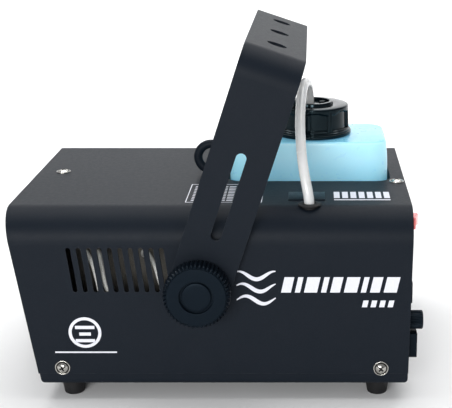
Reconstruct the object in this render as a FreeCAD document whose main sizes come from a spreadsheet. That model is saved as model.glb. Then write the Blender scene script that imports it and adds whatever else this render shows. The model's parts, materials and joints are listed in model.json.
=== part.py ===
"""Fog machine: folded steel case, hanging yoke with clamping knobs, fluid tank, heater and pump.

Row frame in millimetres: origin on the floor under the middle of the case, +X from the fog outlet
at the front to the sockets at the back, +Z up, and the two knobs on the Y axis's sides.
"""

import FreeCAD, Part
import math
import os
import re
import Sketcher

V = FreeCAD.Vector
AXES = {"X": V(1, 0, 0), "Y": V(0, 1, 0), "Z": V(0, 0, 1)}

# Driving dimensions. Each key is an alias in the sheet.
SIZES = {
    # case
    "case_width": 238, "case_top": 153, "case_floor": 12.4, "sheet": 1.2, "top_bend": 25, "low_bend": 5,
    "front_foot_x": -136.2, "front_slope": 0.152, "back_top_x": 155, "back_foot_x": 153,
    "cover_bottom": 22.5, "flange_top": 38, "chassis_back_x": 152.8, "chassis_gap": 0.4,
    "vent_first_x": -105.5, "vent_pitch": 7.87, "vent_wide": 3.6, "vent_low": 90, "vent_high": 126,
    # yoke and knobs
    "pivot_x": -8.7, "pivot_z": 94.5, "yoke_tilt": 18.5, "yoke_wide": 47.5, "yoke_thick": 2.5,
    "yoke_reach": 188.2, "yoke_half": 125.5, "yoke_bend": 22, "stud_radius": 3.95, "slot_start": 41.5,
    "slot_end": 112, "yoke_hole_radius": 8, "yoke_hole_pitch": 70, "knob_radius": 25.5,
    "knob_face": 143, "knob_thick": 16.5, "knob_recess": 12.8, "knob_cap_radius": 11.2,
    # tank, cap and tube
    "tank_x": 8, "tank_long": 134, "tank_y": -22.5, "tank_wide": 81, "tank_base": 64.5, "tank_top": 185,
    "tank_wall": 3, "tank_round": 12, "well_gap": 1.5, "cap_x": 77.9, "cap_y": 18.4, "neck_radius": 27,
    "neck_top": 203, "cap_radius": 31.2, "cap_flange": 33.2, "cap_top": 210.6, "cap_ring_top": 213,
    "tube_radius": 4, "tube_x": 75.5, "tube_y": 14.5, "tube_start": 203, "grommet_x": 75.8,
    "grommet_y": -96.6,
    # inside
    "outlet_z": 84, "heater_front": -126, "heater_back": -20, "heater_half": 32, "heater_tall": 26, "wrap": 8,
    "pump_x": 25, "pump_long": 60, "pump_y": 35, "pump_z": 42, "pump_radius": 18,
    "board_x": 20, "board_long": 88, "board_y": -108, "board_wide": 66, "board_z": 26,
    # back panel
    "switch_y": -72.5, "switch_z": 133.5, "socket_y": -90.5, "socket_z": 83, "fuse_y": -95.5, "fuse_z": 58.5,
    "fuse_tip": 165.5, "inlet_y": -90.5, "inlet_z": 40.2,
    # feet and screws
    "foot_front_x": -112.4, "foot_back_x": 129.7, "foot_y": 102, "foot_top": 9.8, "foot_low": 8,
    "washer_radius": 6, "washer_thick": 1.4, "head_radius": 4.1, "head_thick": 1.6, "screw_radius": 2,
}

doc = FreeCAD.newDocument("FogMachine")
sheet = doc.addObject("Spreadsheet::Sheet", "Sizes")
for row, (alias, number) in enumerate(SIZES.items(), start=1):
    sheet.set(f"A{row}", alias)
    sheet.set(f"B{row}", str(number))
    sheet.setAlias(f"B{row}", alias)
doc.recompute()
NODES = {}


def size(alias):
    """A driving dimension, as the sheet holds it."""
    return float(sheet.get(alias))


def bind(obj, prop, formula):
    """Bind a property to a formula written with the sheet's aliases."""
    named = re.sub(r"[a-z_]+", lambda m: "Sizes." + m[0] if m[0] in SIZES else m[0], str(formula))
    obj.setExpression(prop, named)


def place(obj, x=0, y=0, z=0, axis=None, angle=0):
    """Put an object at formulas for X, Y and Z, turned by an angle about an axis."""
    turn = FreeCAD.Rotation(AXES[axis], angle) if axis else FreeCAD.Rotation()
    obj.Placement = FreeCAD.Placement(V(), turn)
    for letter, formula in zip("xyz", (x, y, z)):
        bind(obj, "Placement.Base." + letter, formula)
    return obj


def box(label, x, y, z):
    """A block between two formulas along each axis."""
    obj = doc.addObject("Part::Box", label)
    for prop, (low, high) in (("Length", x), ("Width", y), ("Height", z)):
        bind(obj, prop, f"({high}) - ({low})")
    return place(obj, x[0], y[0], z[0])


def about(center, half):
    """The two formulas of a span centred on a formula."""
    return f"({center}) - ({half})", f"({center}) + ({half})"


LIE = {"X": ("Y", 90), "Y": ("X", -90), "Z": (None, 0)}


def rod(label, along, radius, across, span):
    """A cylinder along an axis, at two formulas across it, over a span of it."""
    obj = doc.addObject("Part::Cylinder", label)
    bind(obj, "Radius", radius)
    bind(obj, "Height", f"({span[1]}) - ({span[0]})")
    at = list(across)
    at.insert("XYZ".index(along), span[0])
    return place(obj, *at, *LIE[along])


def cone(label, along, radii, across, span):
    """A cone along an axis with a first and a last radius."""
    obj = doc.addObject("Part::Cone", label)
    bind(obj, "Radius1", radii[0])
    bind(obj, "Radius2", radii[1])
    bind(obj, "Height", f"({span[1]}) - ({span[0]})")
    at = list(across)
    at.insert("XYZ".index(along), span[0])
    return place(obj, *at, *LIE[along])


def fuse(label, *pieces):
    obj = doc.addObject("Part::MultiFuse", label)
    obj.Shapes = list(pieces)
    obj.Refine = True
    return obj


def group(label, pieces):
    """Separate solids that make one node."""
    obj = doc.addObject("Part::Compound", label)
    obj.Links = list(pieces)
    return obj


def cut(label, base, *tools):
    obj = doc.addObject("Part::Cut", label)
    obj.Base = base
    obj.Tool = tools[0] if len(tools) == 1 else group(label + "_tools", tools)
    return obj


def common(label, first, second):
    obj = doc.addObject("Part::Common", label)
    obj.Base = first
    obj.Tool = second
    return obj


def ring(label, along, outer, inner, across, span):
    """A tube or washer: a cylinder with a hole right through."""
    deep = (f"({span[0]}) - 1", f"({span[1]}) + 1")
    return cut(label, rod(label + "_out", along, outer, across, span),
               rod(label + "_in", along, inner, across, deep))


def sketch_on(body, role, points):
    """A closed outline on one of the body's origin planes, each corner bound to a pair of formulas."""
    sketch = body.newObject("Sketcher::SketchObject", body.Label + "_outline")
    plane = [f for f in body.Origin.OriginFeatures if f.Role == role][0]
    sketch.AttachmentSupport = [(plane, "")]
    sketch.MapMode = "FlatFace"
    count = len(points)
    start = [V(40 * math.cos(2 * math.pi * i / count), 40 * math.sin(2 * math.pi * i / count), 0)
             for i in range(count)]
    for i in range(count):
        sketch.addGeometry(Part.LineSegment(start[i], start[(i + 1) % count]))
    for i in range(count):
        sketch.addConstraint(Sketcher.Constraint("Coincident", i, 2, (i + 1) % count, 1))
    for i, (across, up) in enumerate(points):
        for kind, formula, now in (("DistanceX", across, start[i].x), ("DistanceY", up, start[i].y)):
            index = sketch.addConstraint(Sketcher.Constraint(kind, -1, 1, i, 1, now))
            bind(sketch, f"Constraints[{index}]", formula)
    return sketch


def prism(label, role, points, length):
    """An outline padded to both sides of its plane."""
    body = doc.addObject("PartDesign::Body", label)
    pad = body.newObject("PartDesign::Pad", label + "_pad")
    pad.Profile = sketch_on(body, role, points)
    bind(pad, "Length", length)
    pad.Midplane = True
    doc.recompute()
    return body


def spun(label, points):
    """An outline of radius and height pairs turned about Z."""
    body = doc.addObject("PartDesign::Body", label)
    turn = body.newObject("PartDesign::Revolution", label + "_turn")
    profile = sketch_on(body, "XZ_Plane", points)
    turn.Profile = profile
    turn.ReferenceAxis = (profile, ["V_Axis"])
    turn.Angle = 360
    doc.recompute()
    return body


def round_edges(body, radius, wanted):
    """Fillet the edges of a body's tip that the test accepts."""
    doc.recompute()
    tip = body.Tip
    names = [f"Edge{i}" for i, e in enumerate(tip.Shape.Edges, start=1) if wanted(e)]
    fillet = body.newObject("PartDesign::Fillet", f"{body.Label}_round{len(body.Group)}")
    fillet.Base = (tip, names)
    bind(fillet, "Radius", radius)
    doc.recompute()
    return body


def runs_along(edge, axis):
    """Whether an edge is straight and parallel to an axis."""
    if not isinstance(edge.Curve, Part.Line):
        return False
    return abs(abs(edge.tangentAt(edge.FirstParameter).dot(AXES[axis])) - 1) < 1e-6


def node(label, obj):
    """Name a finished sub-part; its label names its file."""
    obj.Label = label
    NODES[label] = obj
    return obj


def bent_tube(label, points, radius, hollow=0.0):
    """A tube along straight runs joined by tangent arcs of 0.45 of the shorter run at each bend."""
    runs = [b - a for a, b in zip(points, points[1:])]
    edges = []
    at = points[0]
    tightest = None
    for i, corner in enumerate(points[1:-1]):
        into, out = V(runs[i]).normalize(), V(runs[i + 1]).normalize()
        back = 0.45 * min(runs[i].Length, runs[i + 1].Length)
        turn = into.getAngle(out)
        bend = back / math.tan(turn / 2)
        tightest = bend if tightest is None else min(tightest, bend)
        first, last = corner - into * back, corner + out * back
        middle = corner + (out - into).normalize() * (bend / math.cos(turn / 2) - bend)
        edges.append(Part.LineSegment(at, first).toShape())
        edges.append(Part.Arc(first, middle, last).toShape())
        at = last
    edges.append(Part.LineSegment(at, points[-1]).toShape())
    path = Part.Wire(edges)
    solids = []
    for r in [radius] + ([hollow] if hollow else []):
        circle = Part.Wire(Part.makeCircle(r, points[0], runs[0]))
        solids.append(path.makePipeShell([circle], True, False))
    shape = solids[0].cut(solids[1]) if hollow else solids[0]
    section = math.pi * (radius**2 - hollow**2)
    print(f"{label}: {path.Length:.1f} long, tightest bend {tightest:.1f}, "
          f"volume over section times length {shape.Volume / section / path.Length:.4f}")
    obj = doc.addObject("Part::Feature", label)
    obj.Shape = shape
    return obj


# ---- case ------------------------------------------------------------------------------------

def front_x(height, inward="0"):
    """Formula for the raked front's X at a height, moved inward by a distance."""
    return f"front_foot_x - front_slope * (({height}) - cover_bottom) + ({inward})"


def case_block(label, width, low, high, inward, back, bend):
    """A block with the case's raked side outline and rounded upper long edges."""
    points = [(front_x(low, inward), low), (front_x(high, inward), high), (back[1], high), (back[0], low)]
    block = prism(label, "XZ_Plane", points, width)
    if bend:
        top = max(v.Z for v in block.Shape.Vertexes)
        round_edges(block, bend, lambda e: runs_along(e, "X") and e.Vertexes[0].Z > top - 0.01)
    return block


VENTS = 10
VENT_LEAN = 6.8
SIDES = {"near": -1, "far": 1}
SIDE_SCREWS = (("-117", "27.7"), ("131.5", "27"))
TOP_SCREWS = (("-135.3", "6.5"), ("147.9", "-25.5"))


def vent_slots():
    """Slanted round-ended slots through both sides."""
    slots = []
    for i in range(VENTS):
        body = doc.addObject("PartDesign::Body", f"vent{i}")
        pad = body.newObject("PartDesign::Pad", f"vent{i}_pad")
        half, up = "vent_wide / 2", "(vent_high - vent_low) / 2"
        corners = [(f"-{half}", f"-{up}"), (half, f"-{up}"), (half, up), (f"-{half}", up)]
        pad.Profile = sketch_on(body, "XZ_Plane", corners)
        bind(pad, "Length", "case_width + 20")
        pad.Midplane = True
        round_edges(body, f"{half} - 0.02", lambda e: runs_along(e, "Y"))
        place(body, f"vent_first_x + {i} * vent_pitch", 0, "(vent_low + vent_high) / 2", "Y", -VENT_LEAN)
        slots.append(body)
    return slots


def hole(label, along, radius, across, span):
    return rod(label + "_hole", along, radius, across, span)


def well_walls(label, grow, floor, top):
    """A block round the tank, grown by a distance, with rounded upright edges."""
    body = prism(label, "XY_Plane", [
        (f"tank_x - ({grow})", f"tank_y - ({grow})"),
        (f"tank_x + tank_long + ({grow})", f"tank_y - ({grow})"),
        (f"tank_x + tank_long + ({grow})", f"tank_y + tank_wide + ({grow})"),
        (f"tank_x - ({grow})", f"tank_y + tank_wide + ({grow})")], f"({top}) - ({floor})")
    round_edges(body, f"tank_round + ({grow})", lambda e: runs_along(e, "Z"))
    return place(body, 0, 0, f"(({floor}) + ({top})) / 2")


def make_cover():
    outer = case_block("cover_out", "case_width", "cover_bottom", "case_top", "0",
                       ("back_foot_x", "back_top_x"), "top_bend")
    inner = case_block("cover_in", "case_width - 2 * sheet", "0", "case_top - sheet", "-20",
                       ("200", "200"), "top_bend - sheet")
    through = ("-case_width", "case_width")
    tools = vent_slots()
    tools.append(hole("pivot", "Y", 4.6, ("pivot_x", "pivot_z"), through))
    for x, z in SIDE_SCREWS:
        tools.append(hole("side", "Y", 2.2, (x, z), through))
    upright = ("case_top - 5", "case_top + 5")
    for x, y in TOP_SCREWS:
        tools.append(hole("top", "Z", 2.2, (x, y), upright))
    tools.append(hole("grommet", "Z", 7, ("grommet_x", "grommet_y"), upright))
    tools.append(hole("eye", "Z", 3.2, (EYE_X, EYE_Y), upright))
    tools.append(well_walls("tank_opening", "well_gap", "case_top - 5", "case_top + 5"))
    shell = cut("cover_shell", outer, inner)
    node("top_cover", cut("top_cover", shell, *tools))


EYE_X, EYE_Y = "-7.5", "-0.5"


def make_chassis():
    gap = "chassis_gap"
    wide = "case_width - 2 * sheet - 0.2"
    outer = case_block("chassis_out", wide, "case_floor", "case_top - sheet", gap,
                       ("chassis_back_x", "chassis_back_x"), "top_bend - sheet")
    low = min(v.Z for v in outer.Shape.Vertexes)
    round_edges(outer, "low_bend", lambda e: e.BoundBox.ZMax < low + 0.01)
    inner = case_block("chassis_in", f"{wide} - 2 * sheet", "case_floor + sheet", "case_top + 20",
                       f"{gap} + 1.01 * sheet", ("chassis_back_x - sheet",) * 2, None)
    low_in = min(v.Z for v in inner.Shape.Vertexes)
    round_edges(inner, "low_bend - sheet", lambda e: e.BoundBox.ZMax < low_in + 0.01)
    sides = case_block("chassis_sides", "case_width + 20", "flange_top", "case_top + 20",
                       f"{gap} + 1.01 * sheet", ("chassis_back_x - sheet",) * 2, None)
    lips = ("case_top - 2 * sheet", "case_top - sheet")
    front_lip = box("front_lip", (front_x("case_top", "1.2"), "-128"), ("-85", "85"), lips)
    back_lip = box("back_lip", ("145.4", "chassis_back_x - sheet / 2"), ("-85", "85"), lips)
    tools = [hole("side", "Y", 2.2, at, ("-case_width", "case_width")) for at in SIDE_SCREWS]
    tools += [hole("top", "Z", 2.2, at, ("case_top - 5", "case_top + 5")) for at in TOP_SCREWS]
    floor = ("case_floor - 5", "case_floor + 5")
    tools += [hole("foot", "Z", 2.2, at, floor) for at in FEET]
    tools += [hole("screw", "Z", 1.7, at, floor) for at in CHASSIS_SCREWS]
    out, back = ("-200", "-100"), ("140", "170")
    tools.append(hole("nozzle", "X", 10, ("0", "outlet_z"), out))
    tools.append(box("switch_cut", back, about("switch_y", 9), about("switch_z", 6)))
    tools.append(hole("socket", "X", 7.6, ("socket_y", "socket_z"), back))
    tools.append(hole("fuse", "X", 6.4, ("fuse_y", "fuse_z"), back))
    tools.append(box("inlet_cut", back, about("inlet_y", 13.8), about("inlet_z", 9.7)))
    tub = cut("chassis_open", cut("chassis_tub", outer, inner), sides)
    node("chassis", cut("chassis", fuse("chassis_folded", tub, front_lip, back_lip), *tools))


FEET = [(x, y) for x in ("foot_front_x", "foot_back_x") for y in ("-foot_y", "foot_y")]
BRACKETS = ("-115", "-40")
STANDOFFS = [(x, y) for x in ("board_x + 5", "board_x + board_long - 5")
             for y in ("board_y + 5", "board_y + board_wide - 5")]
BRACKET_SCREWS = [(f"{x} + 7.5", y) for x in BRACKETS for y in ("-48", "48")]
PUMP_SCREWS = [("pump_x + 20", f"pump_y + {dy}") for dy in (-23, 23)]
CHASSIS_SCREWS = STANDOFFS + BRACKET_SCREWS + PUMP_SCREWS


def make_feet():
    feet, screws, nuts = [], [], []
    for i, at in enumerate(FEET):
        body = cone(f"foot{i}", "Z", ("foot_low", "foot_top"), at, ("0", "case_floor"))
        bore = rod(f"foot{i}_bore", "Z", 2.3, at, ("0", "case_floor + 1"))
        well = rod(f"foot{i}_well", "Z", 4.5, at, ("-1", "6"))
        feet.append(cut(f"foot{i}_cut", body, bore, well))
        shaft = rod(f"foot{i}_shaft", "Z", 2, at, ("5", "case_floor + 7"))
        screws.append(fuse(f"foot{i}_screw", rod(f"foot{i}_head", "Z", 4, at, ("3.2", "6")), shaft))
        nuts.append(ring(f"foot{i}_nut", "Z", 3.8, 2.05, at, ("case_floor + sheet", "case_floor + 5")))
    node("feet", group("feet", feet))
    node("foot_screws", group("foot_screws", screws))
    node("foot_nuts", group("foot_nuts", nuts))


def cup_screw(tag, along, at, face, way, depth):
    """A cross-slotted screw and its cup washer on a face; way is the side its head stands on."""
    def span(near, far):
        ends = (f"{face} + {way} * ({near})", f"{face} + {way} * ({far})")
        return ends if way > 0 else ends[::-1]

    seat = rod(tag + "_seat", along, "washer_radius", at, span(0, "washer_thick"))
    washer = cut(tag + "_washer", seat, rod(tag + "_bore", along, "screw_radius + 0.3", at, span(-1, 3)))
    top = "washer_thick + head_thick"
    head = rod(tag + "_head", along, "head_radius", at, span("washer_thick", top))
    shaft = rod(tag + "_shaft", along, "screw_radius", at, span(-depth, "washer_thick + 0.5"))
    slots = []
    for k, halves in enumerate(((2.4, 0.5), (0.5, 2.4))):
        ranges = [about(center, half) for center, half in zip(at, halves)]
        ranges.insert("XYZ".index(along), span(f"{top} - 0.8", f"{top} + 1"))
        slots.append(box(f"{tag}_slot{k}", *ranges))
    return cut(tag + "_screw", fuse(tag + "_whole", head, shaft), fuse(tag + "_cross", *slots)), washer


def make_screws():
    side = [cup_screw(f"side{i}_{name}", "Y", at, f"{way} * case_width / 2", way, 7)
            for i, at in enumerate(SIDE_SCREWS) for name, way in SIDES.items()]
    top = [cup_screw(f"top{i}", "Z", at, "case_top", 1, 8) for i, at in enumerate(TOP_SCREWS)]
    under = []
    for i, at in enumerate(CHASSIS_SCREWS):
        head = rod(f"under{i}_head", "Z", 3, at, ("case_floor - 2", "case_floor"))
        shaft = rod(f"under{i}_shaft", "Z", 1.5, at, ("case_floor - 1", "case_floor + 6"))
        under.append(fuse(f"under{i}_screw", head, shaft))
    node("side_screws", group("side_screws", [screw for screw, washer in side]))
    node("top_screws", group("top_screws", [screw for screw, washer in top]))
    node("cup_washers", group("cup_washers", [washer for screw, washer in side + top]))
    node("chassis_screws", group("chassis_screws", under))


# ---- yoke and knobs --------------------------------------------------------------------------

def block_outline(half_wide, low, high):
    """The corners of a rectangle centred across."""
    return [(f"-({half_wide})", low), (half_wide, low), (half_wide, high), (f"-({half_wide})", high)]


def make_yoke():
    """The U strip, drawn upright round its pivot and then tilted."""
    def upper(edge):
        return runs_along(edge, "X") and edge.Vertexes[0].Z > 100

    inside = "yoke_half - yoke_thick"
    outer = prism("yoke_out", "YZ_Plane", block_outline("yoke_half", "-yoke_wide / 2", "yoke_reach"),
                  "yoke_wide")
    round_edges(outer, "yoke_bend", upper)
    inner = prism("yoke_in", "YZ_Plane", block_outline(inside, "-yoke_wide", "yoke_reach - yoke_thick"),
                  "2 * yoke_wide")
    round_edges(inner, "yoke_bend - yoke_thick", upper)
    ends = prism("yoke_ends", "XZ_Plane", block_outline("yoke_wide / 2", "-yoke_wide / 2", "300"), "400")
    round_edges(ends, "yoke_wide / 2 - 0.1", lambda e: runs_along(e, "Y") and e.Vertexes[0].Z < 0)
    through = ("-200", "200")
    radius = "(stud_radius + 0.05)"
    low, high = f"slot_start + {radius}", f"slot_end - {radius}"
    slot = fuse("yoke_slot",
                rod("yoke_slot_low", "Y", radius, ("0", low), through),
                rod("yoke_slot_high", "Y", radius, ("0", high), through),
                box("yoke_slot_mid", about("0", radius), through, (low, high)))
    tools = [rod("yoke_pivot_hole", "Y", 4.25, ("0", "0"), through), slot]
    for k in (-1, 0, 1):
        tools.append(rod(f"yoke_hang{k + 1}", "Z", "yoke_hole_radius", ("0", f"{k} * yoke_hole_pitch"),
                         about("yoke_reach", 10)))
    strip = common("yoke_strip", cut("yoke_bent", outer, inner), ends)
    yoke = cut("yoke", strip, *tools)
    place(yoke, "pivot_x", 0, "pivot_z", "Y", size("yoke_tilt"))
    node("yoke", yoke)


RIBS = 48


def make_knob(name, way):
    """A ribbed clamping knob drawn with its face up, then laid on its side of the case."""
    disc = spun(f"knob_{name}_disc", [
        ("stud_radius + 0.02", "0.3"), ("12", "0.3"), ("12", "1"), ("knob_radius - 1.2", "1"),
        ("knob_radius", "2.2"), ("knob_radius", "knob_thick - 1.2"), ("knob_radius - 1.2", "knob_thick"),
        ("knob_recess", "knob_thick"), ("knob_recess", "knob_thick - 3"), ("0", "knob_thick - 3"),
        ("0", "11"), ("stud_radius + 0.02", "11")])
    grooves = []
    for i in range(RIBS):
        turn = 2 * math.pi * i / RIBS
        at = [f"(knob_radius + 0.3) * {part:.6f}" for part in (math.cos(turn), math.sin(turn))]
        grooves.append(rod(f"knob_{name}_groove{i}", "Z", 0.9, at, ("-1", "knob_thick + 1")))
    knob = cut(f"knob_{name}", disc, *grooves)
    cap = rod(f"knob_cap_{name}", "Z", "knob_cap_radius", ("0", "0"), ("knob_thick - 3", "knob_thick - 0.4"))
    stud = rod(f"knob_stud_{name}", "Z", "stud_radius", ("0", "0"), ("-20", "11"))
    for piece in (knob, cap, stud):
        label = piece.Label
        holder = group(label + "_laid", [piece])
        place(holder, "pivot_x", f"{way} * (knob_face - knob_thick)", "pivot_z", "X", -90 * way)
        node(label, holder)
    spacer = ("case_width / 2", "yoke_half - yoke_thick - 0.3")
    nut = ("case_width / 2 - sheet - 6.5", "case_width / 2 - sheet")

    def side(span):
        return span if way > 0 else (f"-({span[1]})", f"-({span[0]})")

    at = ("pivot_x", "pivot_z")
    return (ring(f"spacer_{name}", "Y", 13, 4.4, at, side(spacer)),
            ring(f"nut_{name}", "Y", 7, 4.0, at, side(nut)))


# ---- tank, cap and tube ----------------------------------------------------------------------

def tank_block(label, inset, low, high, edge):
    body = prism(label, "XY_Plane", [
        (f"tank_x + {inset}", f"tank_y + {inset}"), (f"tank_x + tank_long - {inset}", f"tank_y + {inset}"),
        (f"tank_x + tank_long - {inset}", f"tank_y + tank_wide - {inset}"),
        (f"tank_x + {inset}", f"tank_y + tank_wide - {inset}")], f"({high}) - ({low})")
    round_edges(body, f"tank_round - {inset}", lambda e: runs_along(e, "Z"))
    top = max(v.Z for v in body.Shape.Vertexes)
    round_edges(body, edge, lambda e: e.BoundBox.ZMin > top - 0.01)
    return place(body, 0, 0, f"(({low}) + ({high})) / 2")


CAP = ("cap_x", "cap_y")
TUBE = ("tube_x", "tube_y")


def make_tank():
    wall = "tank_wall"
    outer = tank_block("tank_out", "0", "tank_base", "tank_top", "10")
    inner = tank_block("tank_in", wall, f"tank_base + {wall}", f"tank_top - {wall}", "7")
    neck = rod("tank_neck", "Z", "neck_radius", CAP, ("tank_top - 1", "neck_top"))
    mouth = rod("tank_mouth", "Z", "neck_radius - 3.5", CAP, ("tank_top - 10", "neck_top + 1"))
    node("fluid_tank", cut("fluid_tank", fuse("tank_whole", outer, neck), inner, mouth))
    liner = well_walls("well_out", "well_gap + 1.2", "tank_base - 1.2", "case_top - sheet")
    space = well_walls("well_in", "well_gap", "tank_base", "case_top + 5")
    node("tank_well", cut("tank_well", liner, space))
    node("cap_gasket", ring("cap_gasket", "Z", "neck_radius", "neck_radius - 3.4", CAP,
                            ("neck_top", "neck_top + 1.6")))
    node("suction_tube", ring("suction_tube", "Z", "tube_radius", 2.5, TUBE, ("75", "tube_start")))
    node("suction_filter", rod("suction_filter", "Z", 7, TUBE, ("tank_base + 3.6", "75")))


CAP_RIBS = 7


def make_cap():
    wall = cut("cap_wall", rod("cap_body", "Z", "cap_radius - 1.5", CAP, ("tank_top + 0.4", "cap_top")),
               rod("cap_hollow", "Z", "neck_radius + 0.5", CAP, ("tank_top", "neck_top + 2")))
    flange = ring("cap_rim", "Z", "cap_flange", "neck_radius + 0.5", CAP,
                  ("tank_top + 0.4", "tank_top + 4.4"))
    collar = ring("cap_collar", "Z", 17.5, 14.5, CAP, ("cap_top - 1", "cap_ring_top"))
    ribs = []
    for i in range(CAP_RIBS):
        rib = box(f"cap_rib{i}", ("neck_radius + 1", "cap_radius"), about("0", 4),
                  ("tank_top + 3", "cap_top - 0.6"))
        turned = group(f"cap_rib{i}_turned", [rib])
        ribs.append(place(turned, "cap_x", "cap_y", 0, "Z", 360 * i / CAP_RIBS - 86))
    whole = fuse("cap_whole", wall, flange, collar, *ribs)
    opening = rod("cap_opening", "Z", 12, CAP, ("neck_top", "cap_ring_top + 5"))
    node("tank_cap", cut("tank_cap", whole, opening))
    flange_low = rod("bush_flange", "Z", 15, CAP, ("neck_top - 1.5", "neck_top + 1.7"))
    stem = rod("bush_stem", "Z", 11.6, CAP, ("neck_top + 1", "cap_top"))
    bars = [box(f"bush_bar{k}", about("cap_x", a), about("cap_y", b), ("cap_top - 0.5", "cap_top + 1.6"))
            for k, (a, b) in enumerate(((11.4, 1.5), (1.5, 11.4)))]
    bush = fuse("bush_whole", flange_low, stem, *bars)
    bore = rod("bush_hole", "Z", 5.6, TUBE, ("tube_start", "cap_ring_top + 5"))
    seat = rod("bush_seat", "Z", "tube_radius + 0.02", TUBE, ("tube_start - 10", "tube_start + 1"))
    node("tube_bush", cut("tube_bush", bush, bore, seat))


# The free tube's centre line, from the bush in the cap over to the grommet.
TUBE_ROUTE = [
    (75.5, 14.5, 203.0), (75.5, 14.5, 213.0), (75.1, 10.7, 222.2), (74.3, 3.6, 229.3), (73.0, -6.1, 233.3),
    (71.3, -18.1, 233.7), (69.8, -30.7, 230.6), (68.8, -43.6, 224.0), (68.3, -56.1, 214.9),
    (68.5, -68.6, 204.1), (69.4, -80.1, 192.2), (71.0, -88.6, 180.5), (73.5, -94.1, 168.1),
    (75.8, -96.6, 156.2), (75.8, -96.6, 147.0),
]


def make_tubes():
    free = bent_tube("fluid_tube", [V(*p) for p in TUBE_ROUTE], size("tube_radius"), 2.5)
    node("fluid_tube", free)
    grommet = ring("grommet_lip", "Z", 9, "tube_radius + 0.7", ("grommet_x", "grommet_y"),
                   ("case_top", "case_top + 2.2"))
    neck = ring("grommet_neck", "Z", 6.8, "tube_radius + 0.7", ("grommet_x", "grommet_y"),
                ("case_top - sheet - 2", "case_top + 1"))
    node("tube_grommet", fuse("tube_grommet", grommet, neck))
    low = TUBE_ROUTE[-1]
    rear = size("pump_x") + size("pump_long")
    y, z = size("pump_y"), size("pump_z")
    hose = [V(*low), V(75.8, -96.6, 122), V(88, -86, 98), V(112, -58, 78), V(124, -24, 56), V(118, 14, 44),
            V(rear + 14, y, z), V(rear, y, z)]
    node("pump_hose", bent_tube("pump_hose", hose, size("tube_radius"), 2.5))
    front = size("pump_x") - 8
    back = size("heater_back") + size("wrap")
    pipe = [V(front, y, z), V(front - 10, y, z), V(front - 18, y - 14, z + 12), V(front - 20, 14, 72),
            V(back + 8, 0, size("outlet_z")), V(back - size("wrap"), 0, size("outlet_z"))]
    node("pump_pipe", bent_tube("pump_pipe", pipe, 2.5))


# ---- heater, nozzle, pump and board ----------------------------------------------------------

STATS = ("-95", "-50")


def make_heater():
    half, z = "heater_half", "outlet_z"
    wide, tall = f"({half} + wrap)", "(heater_tall + wrap)"
    block = box("heater_body", ("heater_front", "heater_back"), about("0", half), about(z, "heater_tall"))
    bore = rod("heater_bore", "X", 5, ("0", z), ("heater_front - 1", "heater_front + 20"))
    feed = rod("heater_feed", "X", 2.55, ("0", z), ("heater_back - 15", "heater_back + 1"))
    node("heater_block", cut("heater_block", block, bore, feed))
    wrap = box("wrap_out", ("heater_front - wrap", "heater_back + wrap"), about("0", wide), about(z, tall))
    space = box("wrap_in", ("heater_front", "heater_back"), about("0", half), about(z, "heater_tall"))
    holes = [rod("wrap_nozzle", "X", 8.5, ("0", z), ("heater_front - 20", "heater_front + 1")),
             rod("wrap_feed", "X", 2.6, ("0", z), ("heater_back - 1", "heater_back + 20"))]
    top = f"{z} + heater_tall"
    holes += [rod(f"wrap_stat{x}", "Z", 9.5, (x, "0"), (f"{top} - 1", f"{top} + 24")) for x in STATS]
    node("heater_insulation", cut("heater_insulation", wrap, space, *holes))
    stats = [fuse(f"stat{x}", rod(f"stat_can{x}", "Z", 9, (x, "0"), (top, f"{top} + 8")),
                  box(f"stat_tag{x}", about(x, 6), about("0", 0.4), (f"{top} + 7", f"{top} + 16")))
             for x in STATS]
    node("thermostats", group("thermostats", stats))
    low, floor = f"{z} - {tall}", "case_floor + sheet"
    brackets = []
    for i, x in enumerate(BRACKETS):
        span = (x, f"{x} + 15")
        pieces = [box(f"bracket{i}_top", span, about("0", f"{wide} + sheet"), (f"{low} - sheet", low))]
        for way in (-1, 1):
            leg = sorted((way * 40, way * 41.2))
            foot = sorted((way * 40, way * 56))
            pieces.append(box(f"bracket{i}_leg{way}", span, leg, (floor, low)))
            pieces.append(box(f"bracket{i}_foot{way}", span, foot, (floor, f"{floor} + sheet")))
        holes = [rod(f"bracket{i}_hole{k}", "Z", 1.6, at, ("case_floor", "case_floor + 10"))
                 for k, at in enumerate(BRACKET_SCREWS)]
        brackets.append(cut(f"bracket{i}", fuse(f"bracket{i}_whole", *pieces), *holes))
    node("heater_brackets", group("heater_brackets", brackets))


def make_nozzle():
    z = "outlet_z"
    stem = rod("nozzle_stem", "X", 8, ("0", z), ("-150", "heater_front"))
    spigot = rod("nozzle_spigot", "X", 4.9, ("0", z), ("heater_front - 1", "heater_front + 15"))
    tip = cone("nozzle_tip", "X", (4, 8), ("0", z), ("-158", "-150"))
    bore = rod("nozzle_bore", "X", 1.6, ("0", z), ("-160", "heater_front + 16"))
    node("nozzle", cut("nozzle", fuse("nozzle_whole", stem, spigot, tip), bore))
    tube = ring("shroud_tube", "X", 30, 28.6, ("0", z), ("-165.5", "-130"))
    flange = ring("shroud_flange", "X", 36, 21, ("0", z), ("-165", "-130"))
    slab = prism("shroud_slab", "XZ_Plane", [
        (front_x("40", "chassis_gap - 1.5"), "40"), (front_x("130", "chassis_gap - 1.5"), "130"),
        (front_x("130", "chassis_gap"), "130"), (front_x("40", "chassis_gap"), "40")], "100")
    ahead = prism("shroud_ahead", "XZ_Plane", [
        ("-190", "40"), ("-190", "130"), (front_x("130", "chassis_gap - 0.5"), "130"),
        (front_x("40", "chassis_gap - 0.5"), "40")], "100")
    node("nozzle_shroud", fuse("nozzle_shroud", common("shroud_plate", flange, slab),
                               common("shroud_collar", tube, ahead)))


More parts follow.
